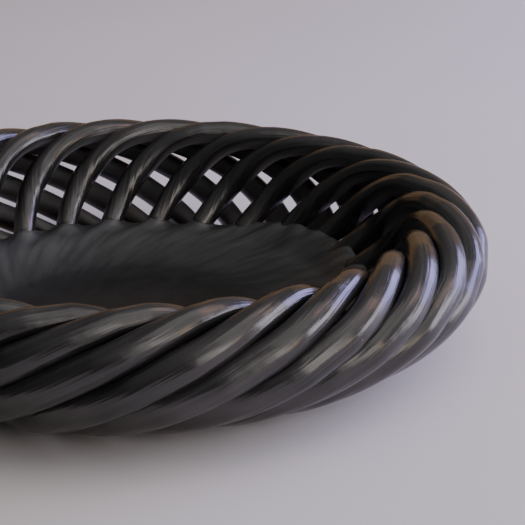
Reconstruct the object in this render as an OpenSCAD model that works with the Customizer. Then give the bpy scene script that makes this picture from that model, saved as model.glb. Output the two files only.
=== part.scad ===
// Openwork bowl of burnished black clay.
// A pressed clay dish carries a hollow rim built from hand-rolled clay coils.
// Each coil starts on the brim of the dish, climbs the flared inner wall, rolls
// over the top of the rim, sweeps down the outside at a slant and tucks in under
// the rim, where its tail is luted to the edge of the dish.
// Origin: centre of the flat underside, on the table. +Z up. Front is -Y.

/* [Dish] */
// Radius of the flat underside that the bowl rests on
foot_r = 74; // [60:1:78]
// Radius of the flat floor inside
floor_r = 62; // [56:1:80]
// Thickness of the floor
floor_t = 5; // [4:0.5:7]
// Radius of the brim's outer edge
edge_r = 102; // [100:0.5:103]
// Height of the brim that the coils stand on
brim_z = 14; // [12:0.5:16]

/* [Hollow rim] */
// Radius of the circle through the middle of the rim
rim_r = 118.6; // [116:0.2:122]
// Half the width of the rim, on the coils' centre lines
rim_half_w = 15.3; // [14:0.1:17]
// Half the height of the rim, on the coils' centre lines
rim_half_h = 24.1; // [22:0.1:26]
// How far the top of the rim leans outwards
rim_lean = 16.2; // [14:0.1:18]
// How much the inner wall is straightened and the outer one crowned
rim_flare = 7.3; // [6:0.1:8]
// Height of the lowest centre-line point
rim_drop = 4.4; // [4.2:0.1:6]

/* [Coils] */
// Number of coils
coils = 29; // [24:1:30]
// Thickness of a coil at its root, on the brim
root_d = 9.6; // [7:0.1:10]
// Thickness of a coil half-way up the inner wall
wall_d = 11.4; // [8:0.1:11.8]
// Thickness of a coil where it bends over towards the top
bend_d = 9.5; // [8:0.1:9.8]
// Thickness of a coil on the shoulder, just outside the top
shoulder_d = 12.1; // [10:0.1:12.2]
// Thickness of a coil on the belly, low on the outside
belly_d = 13.6; // [11:0.1:14.2]
// Thickness of a coil at its tail, under the rim
tail_d = 10.2; // [9:0.1:10.4]
// Steady twist round the bowl, in degrees per degree round the rim
twist = 0.265; // [0.24:0.005:0.28]
// Extra twist, in degrees, that lays the coils over on the outside
twist_swing = 5.1; // [3:0.1:6]
// How far a root is turned back, in degrees, so that the coil starts more upright
root_turn = 2; // [0:0.1:2.2]
// Direction of the first coil, in degrees from the front
first_az = -3.6; // [-10:0.1:10]

/* [Hidden] */
clay = "#2b2b2e";
clay_floor = "#232326";
root_a = 217;              // where a coil leaves the brim, round the rim's section
tail_a = -70;              // where a coil meets the edge of the dish
wall_a = 165;              // where a coil starts to turn back towards its root
// Thickness of a coil at places round the rim's section, from its tail to its root
stations = [[tail_a, tail_d], [-35, belly_d], [20, shoulder_d], [45, shoulder_d],
            [125, bend_d], [160, wall_d], [root_a, root_d]];
rings = 28;
sides = 10;
lute = 0.15;               // depth that a luted end beds into the dish
brim_w = 8;                // width of the flat brim under the roots
edge_round = 1.2;
slope_steps = 8;
slope_foot = 6;            // height of the dish's underside at its edge

function coil_name(k) = str("coil_", k < 10 ? "0" : "", k);

// Smooth step from 0 to 1
function ease(u) = u * u * (3 - 2 * u);
function unit(v) = v / norm(v);

// Centre line of a coil: a is the angle round the rim's section, 0 outside,
// 90 on top, 180 inside; az is the coil's place round the bowl
function line_r(a) = rim_r + rim_half_w * cos(a) + rim_lean * sin(a) + rim_flare * cos(2 * a);
function line_z(a) = rim_drop + rim_half_h * (1 + sin(a));
function line_az(a, az) = az + twist * a + twist_swing * sin(a)
    - root_turn * pow(max(0, a - wall_a) / (root_a - wall_a), 2);
function polar(r, az, z) = [r * sin(az), -r * cos(az), z];
function line(a, az) = polar(line_r(a), line_az(a, az), line_z(a));
function heading(a, az) = unit(line(a - 0.5, az) - line(a + 0.5, az));

// Half the thickness of a coil at a, eased from one station to the next
function coil_r(a) =
    let (i = max([for (s = [0:len(stations) - 2]) if (s == 0 || a >= stations[s].x) s]),
         low = stations[i], high = stations[i + 1])
    (low.y + (high.y - low.y) * ease((a - low.x) / (high.x - low.x))) / 2;

// One ring of points square to the coil
function side_dir(a, az) =
    let (t = heading(a, az), c = polar(rim_r, line_az(a, az), rim_drop + rim_half_h),
         v = line(a, az) - c)
    unit(v - (v * t) * t);
function ring(a, az) =
    let (p = line(a, az), t = heading(a, az), n = side_dir(a, az), b = cross(t, n), r = coil_r(a))
    [for (s = [0:sides - 1]) p + r * (cos(360 * s / sides) * n + sin(360 * s / sides) * b)];

// The root is cut level, on the brim; the tail is cut round, on the dish's edge
function cut_level(pts, t, z) = [for (p = pts) p + t * (z - p.z) / t.z];
function cut_round(pts, t, r) =
    [for (p = pts) let (f = [p.x, p.y], g = [t.x, t.y],
                        b = f * g, a = g * g, c = f * f - r * r,
                        s = (-b - sqrt(b * b - a * c)) / a)
        p + t * s];

// A closed skin over a stack of rings
module skin(stack) {
    n = len(stack);
    m = len(stack[0]);
    polyhedron(
        points = [for (r = stack) each r],
        faces = concat(
            [[for (s = [0:m - 1]) m - 1 - s]],
            [for (i = [0:n - 2], s = [0:m - 1])
                let (u = (s + 1) % m) [i * m + s, i * m + u, (i + 1) * m + u]],
            [for (i = [0:n - 2], s = [0:m - 1])
                let (u = (s + 1) % m) [i * m + s, (i + 1) * m + u, (i + 1) * m + s]],
            [[for (s = [0:m - 1]) (n - 1) * m + s]]),
        convexity = 6);
}

// One hand-rolled coil, from its root on the brim to its tail under the rim
module coil(k) {
    az = first_az + (k - 1) * 360 / coils;
    step = (root_a - tail_a) / (rings - 1);
    body = [for (i = [0:rings - 1]) ring(root_a - i * step, az)];
    root = cut_level(body[0], heading(root_a, az), brim_z - lute);
    tail = cut_round(body[rings - 1], heading(tail_a, az), edge_r - lute);
    color(clay) skin([root, for (i = [1:rings - 2]) body[i], tail]);
}

// The pressed dish: flat floor, sloping wall, flat brim and an upright edge
module base_dish() {
    slope_top = edge_r - brim_w;
    under_top = edge_r - 3;
    color(clay_floor) rotate_extrude($fn = 96) polygon(concat(
        [[0, 0]],
        [for (i = [0:slope_steps]) let (u = i / slope_steps)
            [foot_r + (under_top - foot_r) * u, slope_foot * ease(u)]],
        [[edge_r, slope_foot + edge_round], [edge_r, brim_z - edge_round],
         [edge_r - edge_round / 3, brim_z - edge_round / 3], [edge_r - edge_round, brim_z]],
        [for (i = [slope_steps:-1:0]) let (u = i / slope_steps)
            [floor_r + (slope_top - floor_r) * u, floor_t + (brim_z - floor_t) * ease(u)]],
        [[0, floor_t]]));
}

base_dish();
for (k = [1:coils]) coil(k);
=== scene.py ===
"""Looks of the openwork bowl of burnished black clay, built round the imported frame.

Units are metres, in the frame of the part: +Z up, the bowl stands on z = 0 and -Y is
the front. Angles round the rim's section are 0 outside, 90 on top and 180 inside, and
places round the bowl are measured from the front, to the right, as in the part.
"""

import math

import bpy
import numpy as np
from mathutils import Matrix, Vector


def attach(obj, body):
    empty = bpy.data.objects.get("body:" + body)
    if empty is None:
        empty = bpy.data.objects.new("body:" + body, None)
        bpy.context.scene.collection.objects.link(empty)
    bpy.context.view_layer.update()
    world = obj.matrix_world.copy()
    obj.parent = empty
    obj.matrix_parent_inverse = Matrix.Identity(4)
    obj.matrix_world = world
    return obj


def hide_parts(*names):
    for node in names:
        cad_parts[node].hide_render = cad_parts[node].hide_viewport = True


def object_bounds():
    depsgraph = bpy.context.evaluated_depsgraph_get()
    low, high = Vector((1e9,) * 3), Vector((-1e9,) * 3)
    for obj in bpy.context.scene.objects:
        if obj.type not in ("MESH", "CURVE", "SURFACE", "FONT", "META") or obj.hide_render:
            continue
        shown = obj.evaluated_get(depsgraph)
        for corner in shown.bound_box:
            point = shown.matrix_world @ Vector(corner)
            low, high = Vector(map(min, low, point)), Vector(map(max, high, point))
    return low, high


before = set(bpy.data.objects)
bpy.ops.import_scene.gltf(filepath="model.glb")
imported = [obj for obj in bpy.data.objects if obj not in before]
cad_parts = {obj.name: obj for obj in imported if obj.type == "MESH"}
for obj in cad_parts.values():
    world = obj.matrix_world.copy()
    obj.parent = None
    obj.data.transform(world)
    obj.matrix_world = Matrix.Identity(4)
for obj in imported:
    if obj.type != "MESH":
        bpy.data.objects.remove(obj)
cad_box = [list(corner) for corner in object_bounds()]
coil_nodes = sorted(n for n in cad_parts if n.startswith("coil_"))

MM = 0.001
TURN = 2 * math.pi
SEED = 29

# The part's driving dimensions
RIM_R, RIM_HALF_W, RIM_HALF_H = 118.6 * MM, 15.3 * MM, 24.1 * MM
RIM_LEAN, RIM_FLARE, RIM_DROP = 16.2 * MM, 7.3 * MM, 4.4 * MM
TWIST, TWIST_SWING, FIRST_AZ = 0.265, math.radians(5.1), math.radians(-3.6)
ROOT_A, TAIL_A, WALL_A = math.radians(217), math.radians(-70), math.radians(165)
ROOT_TURN = math.radians(2)
# Thickness of a coil at places round the rim's section, from the tail to the root,
# and the same for the slimmer coils at the back
STATIONS = np.radians([-70, -35, 20, 45, 125, 160, 217])
THICKNESS = np.array([12.4, 14.6, 12.1, 12.1, 9.5, 11.4, 9.6]) * MM
SLIM = np.array([9.8, 11.6, 11.4, 11.6, 9.5, 11.4, 9.8]) * MM
# The stretch of the bowl where the coils are slim, and how gradually it starts and ends
SLIM_FROM, SLIM_TO, SLIM_BLEND = math.radians(125), math.radians(285), math.radians(35)
# The clay's pattern is laid on each coil as if it were this thick from end to end
COIL_D = 12.1 * MM
FOOT_R, FLOOR_R, EDGE_R = 74 * MM, 62 * MM, 102 * MM
FLOOR_T, BRIM_Z, BRIM_W, SLOPE_FOOT = 5 * MM, 14 * MM, 8 * MM, 6 * MM

# ---------------------------------------------------------------- shared shapes


def ease(u):
    u = np.clip(u, 0, 1)
    return u * u * (3 - 2 * u)


def unit(v):
    return v / np.linalg.norm(v, axis=-1, keepdims=True)


def polar(r, az, z):
    return np.stack([r * np.sin(az), -r * np.cos(az), z], axis=-1)


def line_r(a):
    return RIM_R + RIM_HALF_W * np.cos(a) + RIM_LEAN * np.sin(a) + RIM_FLARE * np.cos(2 * a)


def line_z(a):
    return RIM_DROP + RIM_HALF_H * (1 + np.sin(a))


def line_az(a, az):
    turned_back = ROOT_TURN * (np.maximum(0, a - WALL_A) / (ROOT_A - WALL_A)) ** 2
    return az + TWIST * a + TWIST_SWING * np.sin(a) - turned_back


def at_station(values, a):
    """The value at a, eased from each station to the next."""
    i = np.clip(np.searchsorted(STATIONS, a) - 1, 0, len(STATIONS) - 2)
    along = ease((a - STATIONS[i]) / (STATIONS[i + 1] - STATIONS[i]))
    return values[i] + (values[i + 1] - values[i]) * along


def beside(az, middle, half):
    """1 round the middle of a stretch of the bowl, falling to 0 past its half width."""
    return np.exp(-((((az - middle + math.pi) % TURN - math.pi) / half) ** 4))


def wander(rng, x, waves, size):
    """A smooth random curve over x, which runs from 0 to 1: a few sine waves."""
    total = np.zeros_like(x)
    for w in range(1, waves + 1):
        total += rng.normal() / w**0.7 * np.sin(math.pi * w * x + rng.uniform(0, TURN))
    return size * total


def new_mesh(name, verts, faces, uvs=None):
    mesh = bpy.data.meshes.new(name)
    mesh.from_pydata([tuple(v) for v in verts], [], faces)
    if uvs is not None:
        layer = mesh.uv_layers.new(name="girth")
        layer.data.foreach_set("uv", np.asarray(uvs, dtype=np.float32).ravel())
    mesh.polygons.foreach_set("use_smooth", [True] * len(mesh.polygons))
    mesh.validate()
    obj = bpy.data.objects.new(name, mesh)
    bpy.context.scene.collection.objects.link(obj)
    return obj


# ---------------------------------------------------------------- coils

RINGS, SIDES = 150, 36
# How far each end goes on into the dish, as an angle round the rim's section
ROOT_BURY, TAIL_BURY = math.radians(9), math.radians(8)
ROOT_THINS, TAIL_THINS = 6 * MM, 7 * MM  # length over which each end thins out
LOWEST_Z = 0.3 * MM  # the coils just clear the table
# How far a hand-rolled coil strays from its line, as an angle and as lengths
STRAY_AZ, STRAY_R, STRAY_Z = 0.0012, 0.16 * MM, 0.14 * MM
# How uneven it is along its length and round its section, as shares of its radius
UNEVEN, OVAL, FLATS = 0.011, 0.012, 0.0035
# How much wider a coil is where it was pressed against its neighbours, at the stations
PRESS = np.array([0.6, 0.7, 0.9, 0.4, 0.35, 0, 0]) * MM
# On the right of the bowl the coils also spread where they stand on the dish
SPREAD = np.array([0, 0, 0, 0, 0.2, 1.6, 3.0]) * MM
SPREAD_AZ, SPREAD_HALF = math.radians(94), math.radians(22)
# The rolled coils stay inside the part's own outline
OUTER_R = min(cad_box[1][0], cad_box[1][1], -cad_box[0][0], -cad_box[0][1])
TOP_Z = cad_box[1][2]


def build_coil(index, name):
    """One rolled coil, swept from its root on the brim to its tail under the rim."""
    rng = np.random.default_rng(SEED + index)
    x = np.linspace(0, 1, RINGS)
    a = ROOT_A + ROOT_BURY + (TAIL_A - TAIL_BURY - ROOT_A - ROOT_BURY) * x
    az = line_az(a, FIRST_AZ + TURN * index / len(coil_nodes))
    az = az + wander(rng, x, 3, STRAY_AZ)
    r = line_r(a) + wander(rng, x, 3, STRAY_R)
    z = line_z(a) + wander(rng, x, 3, STRAY_Z)
    path = polar(r, az, z)
    heading = unit(np.gradient(path, axis=0))
    middle = polar(np.full_like(a, RIM_R), az, np.full_like(a, RIM_DROP + RIM_HALF_H))
    out = path - middle
    out = unit(out - (out * heading).sum(-1, keepdims=True) * heading)
    side = np.cross(heading, out)

    place = az % TURN
    back = ease((place - SLIM_FROM) / SLIM_BLEND) * (1 - ease((place - SLIM_TO) / SLIM_BLEND + 1))
    thickness = at_station(THICKNESS, a) * (1 - back) + at_station(SLIM, a) * back
    radius = thickness / 2 * (1 + wander(rng, x, 6, UNEVEN))
    along = np.concatenate([[0], np.cumsum(np.linalg.norm(np.diff(path, axis=0), axis=1))])
    # both ends thin out where they are pressed into the dish
    radius *= 0.55 + 0.45 * ease(along / ROOT_THINS)
    radius *= 0.60 + 0.40 * ease((along[-1] - along) / TAIL_THINS)

    # the burnishing stone leaves a coil slightly out of round
    s = np.linspace(0, TURN, SIDES, endpoint=False) + math.pi
    oval = wander(rng, x, 3, OVAL)[:, None] * np.cos(2 * s + rng.uniform(0, TURN))
    flats = 0
    for lobes in range(3, 13):
        depth = wander(rng, x, 5, FLATS)[:, None]
        flats = flats + depth * np.cos(lobes * s + rng.uniform(0, TURN))
    ring = radius[:, None] * (1 + oval + flats)
    pressed = at_station(PRESS, a) * (1 - 0.8 * back)
    spread = at_station(SPREAD, a) * beside(place, SPREAD_AZ, SPREAD_HALF)
    wide = ring + (pressed + spread)[:, None]
    points = (
        path[:, None]
        + (ring * np.cos(s))[..., None] * out[:, None]
        + (wide * np.sin(s))[..., None] * side[:, None]
    )
    reach = np.hypot(points[..., 0], points[..., 1])
    inwards = np.maximum(0, reach.max(axis=1) - OUTER_R)[:, None]
    points[..., :2] *= (1 - inwards / reach)[..., None]
    points[..., 2] -= np.maximum(0, points[..., 2].max(axis=1) - TOP_Z)[:, None]
    points[..., 2] = np.maximum(points[..., 2], LOWEST_Z)
    verts = points.reshape(-1, 3).tolist()
    verts += [(path[0] - heading[0] * radius[0] * 0.5).tolist()]
    verts += [(path[-1] + heading[-1] * radius[-1] * 0.5).tolist()]

    faces, uvs = [], []
    girth = math.pi * COIL_D
    shift = index * 0.37  # every coil shows its own stretch of the clay's pattern
    for i in range(RINGS - 1):
        for j in range(SIDES):
            k = (j + 1) % SIDES
            p, q = i * SIDES, (i + 1) * SIDES
            faces.append((p + j, p + k, q + k, q + j))
            v0, v1 = girth * j / SIDES, girth * (j + 1) / SIDES
            u0, u1 = along[i] + shift, along[i + 1] + shift
            uvs += [(u0, v0), (u0, v1), (u1, v1), (u1, v0)]
    for end_ring, tip in ((0, len(verts) - 2), (RINGS - 1, len(verts) - 1)):
        for j in range(SIDES):
            k = (j + 1) % SIDES
            p, q = end_ring * SIDES + j, end_ring * SIDES + k
            faces.append((tip, q, p) if end_ring == 0 else (tip, p, q))
            u = along[end_ring] + shift
            uvs += [(u, girth * j / SIDES)] * 3
    return new_mesh(name, verts, faces, uvs)


# ---------------------------------------------------------------- dish

DISH_SPOKES = 29 * 22  # 22 between one coil and the next
SLOPE_STEPS, FLOOR_STEPS = 40, 22
SMEAR_LOW = 76 * MM  # radius where the smeared clay below a root runs out
SMEAR_SLANT = 10.9  # radians per metre: a smear goes on in its coil's direction
SMEAR_TALL, SMEAR_WIDE = (1.3, 2.0), (4.8, 6.0)  # least and most, in millimetres
STROKES, STROKE_H = 40, 0.012 * MM  # the fingers' strokes along the smears
DENTS, DENT_RATE, DENT_H = 16, 28, 0.06 * MM  # soft waves left by pressing into the mould
LUMP_W, LUMP_H = 6.5 * MM, 2.4 * MM  # where the tails are luted to the edge
FILLET_W, FILLET_H = 7 * MM, 2.4 * MM  # clay drawn up round each root
# On the right a web of clay closes the spaces between the roots. It starts WEB_FROM inside
# the circle of the roots and reaches its full height WEB_TO outside that circle.
WEB_H, WEB_FROM, WEB_TO = 9 * MM, 13 * MM, 3 * MM
WEB_AZ, WEB_HALF = math.radians(114), math.radians(34)


def dish_profile():
    """The dish's section, from the middle of its underside round to the middle of its floor.

    The second value is the number of the first point on top, past the upright edge.
    """
    under_top, slope_top = EDGE_R - 3 * MM, EDGE_R - BRIM_W
    bend = 1.6 * MM
    points = [(r, 0.0) for r in np.linspace(0, FOOT_R, 14)[1:]]
    for u in np.linspace(0, 1, 15)[1:]:
        points.append((FOOT_R + (under_top - FOOT_R) * u, SLOPE_FOOT * ease(u)))
    for t in np.radians(np.linspace(-80, 0, 6)):
        r = EDGE_R - bend + bend * math.cos(t)
        points.append((r, SLOPE_FOOT + bend * (1.2 + math.sin(t))))
    top_from = len(points)
    for t in np.radians(np.linspace(0, 90, 7)):
        r = EDGE_R - bend + bend * math.cos(t)
        points.append((r, BRIM_Z - bend + bend * math.sin(t)))
    points += [(r, BRIM_Z) for r in np.linspace(EDGE_R - bend, slope_top, 9)[1:]]
    for u in np.linspace(0, 1, SLOPE_STEPS)[1:]:
        r = slope_top + (FLOOR_R - slope_top) * u
        points.append((r, BRIM_Z + (FLOOR_T - BRIM_Z) * ease(u)))
    points += [(r, FLOOR_T) for r in np.linspace(FLOOR_R, 0, FLOOR_STEPS)[1:-1]]
    return np.array(points, dtype=float), top_from


def smear_height(r, az):
    """Height of the clay drawn up round each root and smeared down the slope below it."""
    rng = np.random.default_rng(SEED)
    root_r = line_r(ROOT_A)
    height = np.zeros_like(r)
    fillet = np.zeros_like(r)
    spacing = TURN / len(coil_nodes)
    for k in range(len(coil_nodes)):
        root_az = line_az(ROOT_A, FIRST_AZ + spacing * k)
        reach = SMEAR_LOW + rng.uniform(-4, 4) * MM
        tall, wide = rng.uniform(*SMEAR_TALL) * MM, rng.uniform(*SMEAR_WIDE) * MM
        run = np.clip((root_r - r) / (root_r - reach), -0.4, 1.2)
        centre = root_az + SMEAR_SLANT * (root_r - r) * (1 + rng.uniform(-0.12, 0.12))
        across = (az - centre + math.pi) % TURN - math.pi
        across = across * r / (wide * (1 + 1.1 * np.clip(run, 0, 1)))
        fade = 1 - ease(np.abs(run) / np.where(run > 0, 1.0, 0.35))
        height += tall * fade * np.exp(-(across**2))
        off = ((az - root_az + math.pi) % TURN - math.pi) * r
        gap = np.clip((np.hypot(off, r - root_r) - 3.4 * MM) / FILLET_W, 0, 1)
        # more clay in the sharp corner, on the side that the coil leans to
        lean = 1 - 0.25 * np.tanh(off / (3 * MM))
        fillet = np.maximum(fillet, FILLET_H * lean * (1 - gap) ** 2)
    right = beside(az, WEB_AZ, WEB_HALF)
    web = WEB_H * right * ease((r - root_r + WEB_FROM) / (WEB_FROM + WEB_TO))
    web *= 1 + 0.05 * np.sin(az * 31 + 0.7) + 0.04 * np.sin(az * 47 + 2.1)
    height *= 1 - 0.5 * right
    # soft strokes of the fingers, lying along the smears
    stroke = az - SMEAR_SLANT * (root_r - r)
    band = ease((r - SMEAR_LOW + 6 * MM) / (12 * MM)) * (1 - ease((r - root_r) / (4 * MM)))
    for _ in range(STROKES):
        waves = rng.integers(15, 110)
        size = STROKE_H * rng.normal()
        phase = rng.uniform(0, TURN) + rng.uniform(0, 260) * r
        height += band * size * np.sin(waves * stroke + phase)
    return height + np.cbrt(fillet**3 + web**3)


def build_dish(name):
    """The pressed dish: its section turned round the axis, with the worked clay on top."""
    rng = np.random.default_rng(SEED + 100)
    profile, top_from = dish_profile()
    count = len(profile)
    az = np.linspace(0, TURN, DISH_SPOKES, endpoint=False)
    r = np.repeat(profile[:, :1], DISH_SPOKES, axis=1)
    z = np.repeat(profile[:, 1:], DISH_SPOKES, axis=1)
    angle = np.repeat(az[None], count, axis=0)

    top = np.arange(count)[:, None] >= top_from
    z = z + np.where(top, smear_height(r, angle), 0)
    for _ in range(DENTS):
        kx, ky = rng.normal(0, DENT_RATE), rng.normal(0, DENT_RATE)
        phase = rng.uniform(0, TURN)
        dent = DENT_H * np.sin(kx * r * np.sin(angle) - ky * r * np.cos(angle) + phase)
        z = z + np.where(top, dent, 0)
    spacing = TURN / len(coil_nodes)
    tail_az = line_az(TAIL_A, FIRST_AZ)
    off = (angle - tail_az + spacing / 2) % spacing - spacing / 2
    lump = LUMP_H * np.exp(-((off * EDGE_R / LUMP_W) ** 2))
    edge = np.exp(-(((r - EDGE_R) / (4 * MM)) ** 2)) * (z < BRIM_Z - 2 * MM)
    r = r + edge * (lump + 0.25 * MM * np.sin(angle * 41 + 1.3))

    verts = polar(r, angle, z).reshape(-1, 3).tolist()
    verts += [(0, 0, 0), (0, 0, FLOOR_T)]
    low, high = len(verts) - 2, len(verts) - 1
    faces = []
    for j in range(DISH_SPOKES):
        k = (j + 1) % DISH_SPOKES
        faces.append((low, k, j))
        for i in range(count - 1):
            p, q = i * DISH_SPOKES, (i + 1) * DISH_SPOKES
            faces.append((p + j, p + k, q + k, q + j))
        last = (count - 1) * DISH_SPOKES
        faces.append((high, last + j, last + k))
    return new_mesh(name, verts, faces)


# ---------------------------------------------------------------- materials


class Nodes:
    """Short calls that add shader nodes to one material."""

    def __init__(self, name):
        self.material = bpy.data.materials.new(name)
        self.material.use_nodes = True
        self.tree = self.material.node_tree
        self.shader = self.tree.nodes["Principled BSDF"]

    def add(self, kind, inputs=None, **settings):
        node = self.tree.nodes.new(kind)
        for key, value in settings.items():
            setattr(node, key, value)
        for key, value in (inputs or {}).items():
            self.put(node.inputs[key], value)
        return node

    def put(self, socket, value):
        if isinstance(value, bpy.types.NodeSocket):
            self.tree.links.new(value, socket)
        else:
            socket.default_value = value

    def noise(self, vector, scale, detail, rough):
        inputs = {"Vector": vector, "Scale": scale, "Detail": detail, "Roughness": rough}
        return self.add("ShaderNodeTexNoise", inputs).outputs["Fac"]

    def cells(self, vector, scale):
        inputs = {"Vector": vector, "Scale": scale, "Randomness": 1.0}
        return self.add("ShaderNodeTexVoronoi", inputs).outputs

    def stretch(self, vector, scale):
        inputs = {"Vector": vector, "Scale": scale}
        return self.add("ShaderNodeMapping", inputs).outputs["Vector"]

    def split(self, vector):
        return self.add("ShaderNodeSeparateXYZ", {"Vector": vector}).outputs

    def remap(self, value, low, high, to_low, to_high):
        inputs = {"Value": value, "From Min": low, "From Max": high}
        inputs.update({"To Min": to_low, "To Max": to_high})
        return self.add("ShaderNodeMapRange", inputs).outputs["Result"]

    def math(self, kind, a, b=0.0):
        return self.add("ShaderNodeMath", {0: a, 1: b}, operation=kind).outputs[0]

    def blend(self, factor, a, b):
        node = self.add("ShaderNodeMix", data_type="RGBA")
        self.put(node.inputs["Factor"], factor)
        self.put(node.inputs["A"], a)
        self.put(node.inputs["B"], b)
        return node.outputs["Result"]

    def bump(self, height, distance, strength, normal=None):
        inputs = {"Height": height, "Distance": distance, "Strength": strength}
        if normal is not None:
            inputs["Normal"] = normal
        return self.add("ShaderNodeBump", inputs).outputs["Normal"]


def burnished_clay():
    """Smoke-black clay rubbed with a stone: graphite sheen, strokes, pits and pale specks.

    The side that faces the hollow of the rim is out of the stone's reach, so it stays dull
    and paler: partly the clay's own unburnished tone, partly painted light that lifts these
    shaded faces. Low down the colour is paler and warm: a painted reflection of the pale table.
    """
    dark, pale = (0.048, 0.0465, 0.0465, 1), (0.104, 0.101, 0.101, 1)
    unrubbed_with_painted_light, table_reflection_colour = (0.16, 0.157, 0.154, 1), (0.142, 0.131, 0.125, 1)
    speck_colour = (0.55, 0.52, 0.48, 1)
    reflection_full_below, reflection_ends_at = 6 * MM, 28 * MM  # heights where the painted table reflection is full and where it ends

    n = Nodes("burnished_black_clay")
    girth = n.add("ShaderNodeUVMap", uv_map="girth").outputs["UV"]
    place = n.add("ShaderNodeTexCoord").outputs["Object"]

    strokes = n.noise(n.stretch(girth, (14, 950, 1)), 1.0, 3.0, 0.6)
    bands = n.noise(n.stretch(girth, (18, 330, 1)), 1.0, 2.0, 0.5)
    clouds = n.noise(place, 38.0, 4.0, 0.55)
    dents = n.noise(place, 95.0, 2.0, 0.5)
    grain = n.noise(place, 2600.0, 2.0, 0.5)
    pits = n.cells(place, 330.0)["Distance"]
    grit = n.cells(place, 120.0)
    grit_red = n.add("ShaderNodeSeparateColor", {"Color": grit["Color"]}).outputs[0]
    chosen = n.math("GREATER_THAN", grit_red, 0.55)
    specks = n.math("MULTIPLY", n.remap(grit["Distance"], 0.018, 0.030, 0.8, 0.0), chosen)

    # 0 on the side that faces the hollow, 1 from the flanks outwards
    round_coil = n.math("MULTIPLY", n.split(girth)["Y"], 2 / COIL_D)
    rubbed = n.remap(n.math("COSINE", round_coil), 0.15, 0.80, 1.0, 0.0)

    tone = n.math("ADD", n.math("MULTIPLY", clouds, 0.4), n.math("MULTIPLY", bands, 0.3))
    tone = n.math("ADD", tone, n.math("MULTIPLY", strokes, 0.3))
    colour = n.blend(n.remap(tone, 0.35, 0.65, 0.0, 1.0), dark, pale)
    # the side facing the hollow is paler: partly the clay's own unburnished tone, partly painted
    # light lifting these shaded faces
    colour = n.blend(rubbed, unrubbed_with_painted_light, colour)
    # painted reflection of the pale table: a paler, warm colour low down on the coils, full below
    # 6 mm and gone by 28 mm, varied by the clouds
    low_down = n.remap(n.split(place)["Z"], reflection_full_below, reflection_ends_at, 1.0, 0.0)
    table_reflection_mask = n.math("MULTIPLY", low_down, n.remap(clouds, 0.3, 0.7, 0.35, 0.85))
    colour = n.blend(table_reflection_mask, colour, table_reflection_colour)
    colour = n.blend(specks, colour, speck_colour)
    n.put(n.shader.inputs["Base Color"], colour)
    n.put(n.shader.inputs["Metallic"], n.remap(rubbed, 0.0, 1.0, 0.25, 0.82))

    rough = n.remap(clouds, 0.3, 0.7, 0.13, 0.21)
    rough = n.math("ADD", rough, n.remap(strokes, 0.3, 0.7, -0.04, 0.10))
    rough = n.math("ADD", rough, n.remap(rubbed, 0.0, 1.0, 0.30, 0.0))
    n.put(n.shader.inputs["Roughness"], rough)

    normal = n.bump(n.remap(pits, 0.0, 0.09, 0.0, 1.0), 0.05 * MM, 0.5)
    normal = n.bump(strokes, 0.2 * MM, 0.8, normal)
    normal = n.bump(bands, 0.5 * MM, 0.8, normal)
    normal = n.bump(dents, 0.6 * MM, 0.5, normal)
    normal = n.bump(grain, 0.01 * MM, 0.5, normal)
    n.put(n.shader.inputs["Normal"], normal)
    return n.material


def pressed_clay():
    """The dish: the same clay, wiped and only part burnished, with a duller floor."""
    floor_dark, floor_pale = (0.0195, 0.0195, 0.0197, 1), (0.033, 0.0332, 0.0335, 1)
    # the slope's paler, bluish colours: partly the wiped clay's own tone, partly painted light
    # from the window on the slope
    lit_slope_dark, lit_slope_pale = (0.070, 0.0706, 0.0730, 1), (0.123, 0.1240, 0.1280, 1)

    n = Nodes("pressed_black_clay")
    place = n.add("ShaderNodeTexCoord").outputs["Object"]
    parts = n.split(place)
    x, y = parts["X"], parts["Y"]
    reach = n.math("SQRT", n.math("ADD", n.math("MULTIPLY", x, x), n.math("MULTIPLY", y, y)))
    angle = n.math("ARCTAN2", x, n.math("MULTIPLY", y, -1.0))

    clouds = n.noise(place, 26.0, 5.0, 0.6)
    mottle = n.noise(place, 120.0, 4.0, 0.6)
    grain = n.noise(place, 1900.0, 3.0, 0.5)
    # wiping strokes go on from the coils, slanting down the slope
    slant = n.math("ADD", angle, n.math("MULTIPLY", reach, SMEAR_SLANT))
    turned = {"X": n.math("COSINE", slant), "Y": n.math("SINE", slant)}
    turned["Z"] = n.math("MULTIPLY", reach, 4.0)
    around = n.add("ShaderNodeCombineXYZ", turned).outputs["Vector"]
    strokes = n.noise(around, 16.0, 3.0, 0.5)
    slope = n.remap(reach, FLOOR_R - 14 * MM, EDGE_R - 8 * MM, 0.0, 1.0)

    tone = n.math("ADD", n.math("MULTIPLY", clouds, 0.5), n.math("MULTIPLY", mottle, 0.5))
    floor_colour = n.blend(n.remap(tone, 0.38, 0.62, 0.0, 1.0), floor_dark, floor_pale)
    # painted light on the slope: its colour is paler and bluish, partly the wiped clay's own tone
    lit_slope_colour = n.blend(n.remap(strokes, 0.35, 0.65, 0.0, 1.0), lit_slope_dark, lit_slope_pale)
    n.put(n.shader.inputs["Base Color"], n.blend(slope, floor_colour, lit_slope_colour))
    n.put(n.shader.inputs["Metallic"], 0.6)

    dullness = n.math("ADD", mottle, n.math("MULTIPLY", slope, -0.15))
    n.put(n.shader.inputs["Roughness"], n.remap(dullness, 0.2, 0.8, 0.36, 0.56))
    normal = n.bump(mottle, 0.3 * MM, 0.5)
    normal = n.bump(n.math("MULTIPLY", strokes, slope), 0.2 * MM, 0.3, normal)
    normal = n.bump(grain, 0.02 * MM, 0.7, normal)
    n.put(n.shader.inputs["Normal"], normal)
    return n.material


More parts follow.
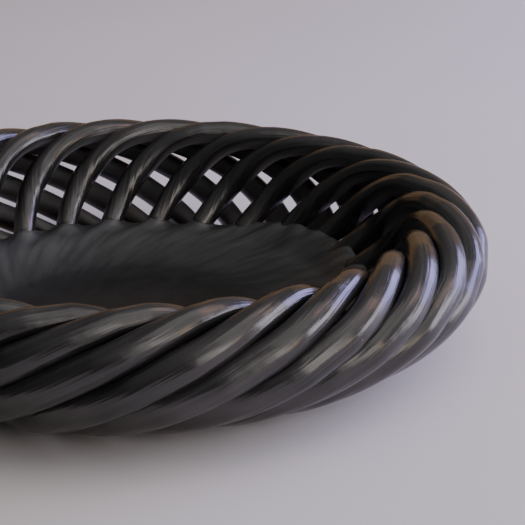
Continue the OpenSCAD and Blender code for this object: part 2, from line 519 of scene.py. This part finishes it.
def table_top():
    """A plain pale table, a little uneven in tone."""
    n = Nodes("pale_table")
    place = n.add("ShaderNodeTexCoord").outputs["Object"]
    tone = n.remap(n.noise(place, 3.0, 3.0, 0.5), 0.3, 0.7, 0.0, 1.0)
    colour = n.blend(tone, (0.82, 0.785, 0.795, 1), (0.86, 0.825, 0.835, 1))
    n.put(n.shader.inputs["Base Color"], colour)
    n.put(n.shader.inputs["Roughness"], 0.6)
    return n.material


# ---------------------------------------------------------------- the bowl

clay, dish_clay = burnished_clay(), pressed_clay()

for number, node in enumerate(coil_nodes):
    coil = build_coil(number, f"{node}_burnished")
    coil.data.materials.append(clay)
    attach(coil, "root")
    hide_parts(node)

dish = build_dish("dish_pressed")
dish.data.materials.append(dish_clay)
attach(dish, "root")
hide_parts("base_dish")

# ---------------------------------------------------------------- table, light, camera

half = 10 * (cad_box[1][0] - cad_box[0][0])
corners = [(-half, -half, 0), (half, -half, 0), (half, half, 0), (-half, half, 0)]
table = new_mesh("table", corners, [(0, 1, 2, 3)])
table.data.materials.append(table_top())


def soft_light(name, place, aim, size, power, colour):
    """A soft panel of the given width and height, in watts, that the camera doesn't see."""
    light = bpy.data.lights.new(name, "AREA")
    light.shape = "RECTANGLE"
    light.size, light.size_y = size
    light.energy, light.color = power, colour
    obj = bpy.data.objects.new(name, light)
    obj.visible_camera = False
    obj.location = place
    obj.rotation_euler = (Vector(aim) - Vector(place)).to_track_quat("-Z", "Y").to_euler()
    bpy.context.scene.collection.objects.link(obj)


MIDDLE = (0, 0, 0.03)  # of the bowl, half-way up its rim
soft_light("window", (1.10, 0.45, 0.43), MIDDLE, (0.72, 0.68), 12, (0.52, 0.50, 1.0))
soft_light("window_pale", (1.2, -0.16, 0.32), MIDDLE, (0.62, 0.54), 5.8, (0.93, 0.90, 1.0))
soft_light("copper_panel", (0.77, 0.03, 0.95), MIDDLE, (0.3, 0.25), 0.6, (1.0, 0.55, 0.42))
soft_light("ceiling", (0.70, -0.25, 1.40), (0, 0, 0), (1.5, 1.5), 4.6, (1.0, 0.96, 0.93))
soft_light("lamp", (0.67, -0.99, 0.46), MIDDLE, (0.42, 0.42), 1.1, (1.0, 0.95, 0.90))
soft_light("lamp_halo", (0.68, -1.01, 0.50), MIDDLE, (0.9, 0.85), 2.1, (1.0, 0.97, 0.93))
soft_light("lamp_amber", (0.95, -0.74, 0.34), MIDDLE, (0.2, 0.3), 0.5, (1.0, 0.66, 0.38))
soft_light("warm_wall", (0.1, 1.3, 0.48), (0, 0, 0.05), (2.6, 0.6), 1.6, (1.0, 0.55, 0.24))


def room(name):
    """A dim room: paler overhead and to the right, and brown towards the back."""
    world = bpy.data.worlds.new(name)
    world.use_nodes = True
    tree = world.node_tree
    facing = tree.nodes.new("ShaderNodeTexCoord").outputs["Generated"]

    def fade(direction, start, start_colour, end, end_colour):
        """A colour that changes with how closely a direction agrees with the given one."""
        along = tree.nodes.new("ShaderNodeVectorMath")
        along.operation = "DOT_PRODUCT"
        along.inputs[1].default_value = direction
        tree.links.new(facing, along.inputs[0])
        ramp = tree.nodes.new("ShaderNodeValToRGB")
        tree.links.new(along.outputs["Value"], ramp.inputs["Fac"])
        first, last = ramp.color_ramp.elements
        first.position, first.color = start, (*start_colour, 1)
        last.position, last.color = end, (*end_colour, 1)
        return ramp.outputs["Color"]

    brightness = fade((0.62, 0, 0.78), 0.05, (0.100, 0.098, 0.098), 0.95, (0.50, 0.49, 0.495))
    tint = fade((0, 1, -0.6), 0.30, (1, 1, 1), 0.75, (0.80, 0.66, 0.52))
    mix = tree.nodes.new("ShaderNodeMix")
    mix.data_type, mix.blend_type = "RGBA", "MULTIPLY"
    mix.inputs["Factor"].default_value = 1
    tree.links.new(brightness, mix.inputs["A"])
    tree.links.new(tint, mix.inputs["B"])
    tree.links.new(mix.outputs["Result"], tree.nodes["Background"].inputs["Color"])
    return world


bpy.context.scene.world = room("room")

# The camera is in front of the bowl, CAMERA_FAR from the middle of its foot, in a direction
# that rises at CAMERA_RISE. It looks down by CAMERA_TILT and right by CAMERA_TURN, in radians.
CAMERA_FAR, CAMERA_RISE, CAMERA_LIFT = 0.7592, 0.3744, -1.5 * MM
CAMERA_TILT, CAMERA_TURN = 0.3372, 0.0788
FOCAL_PER_WIDTH = 3.3655
lens = bpy.data.cameras.new("camera")
lens.lens = FOCAL_PER_WIDTH * lens.sensor_width
lens.clip_start = 0.01
camera = bpy.data.objects.new("camera", lens)
camera_y = -CAMERA_FAR * math.cos(CAMERA_RISE)
camera_z = CAMERA_FAR * math.sin(CAMERA_RISE) + CAMERA_LIFT
camera.location = (0, camera_y, camera_z)
camera.rotation_euler = (math.pi / 2 - CAMERA_TILT, 0, -CAMERA_TURN)
bpy.context.scene.collection.objects.link(camera)
bpy.context.scene.camera = camera
